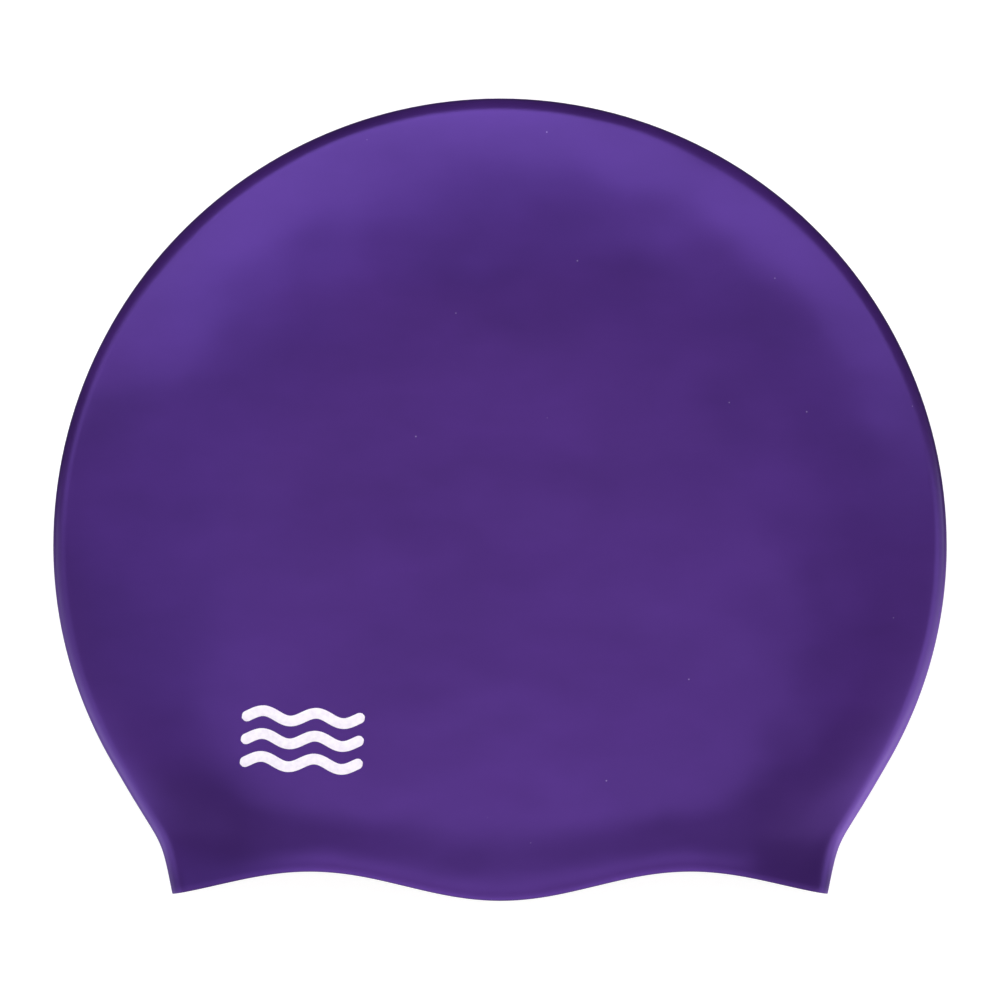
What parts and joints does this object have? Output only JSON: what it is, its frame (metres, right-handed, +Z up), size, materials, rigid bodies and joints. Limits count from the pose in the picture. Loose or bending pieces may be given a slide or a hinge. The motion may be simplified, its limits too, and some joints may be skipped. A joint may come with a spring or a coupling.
{
  "type": "swim cap",
  "caption": "Moulded silicone swim cap lying on its side: a thin-walled round pouch with a folded edge, a shallow belly, a short neck and a waved open rim.",
  "frame": {"origin": "on the table, under the middle of the cap's outline", "axes": "+Z up off the table, through the flat lower panel and the belly; +Y from the mouth to the crown; +X across the cap, from corner to corner of the mouth"},
  "size_m": [0.22, 0.197, 0.0191],
  "materials": {
    "silicone": "satin purple silicone"
  },
  "bodies": {
    "root": {"cap": "silicone"}
  },
  "joints": []
}
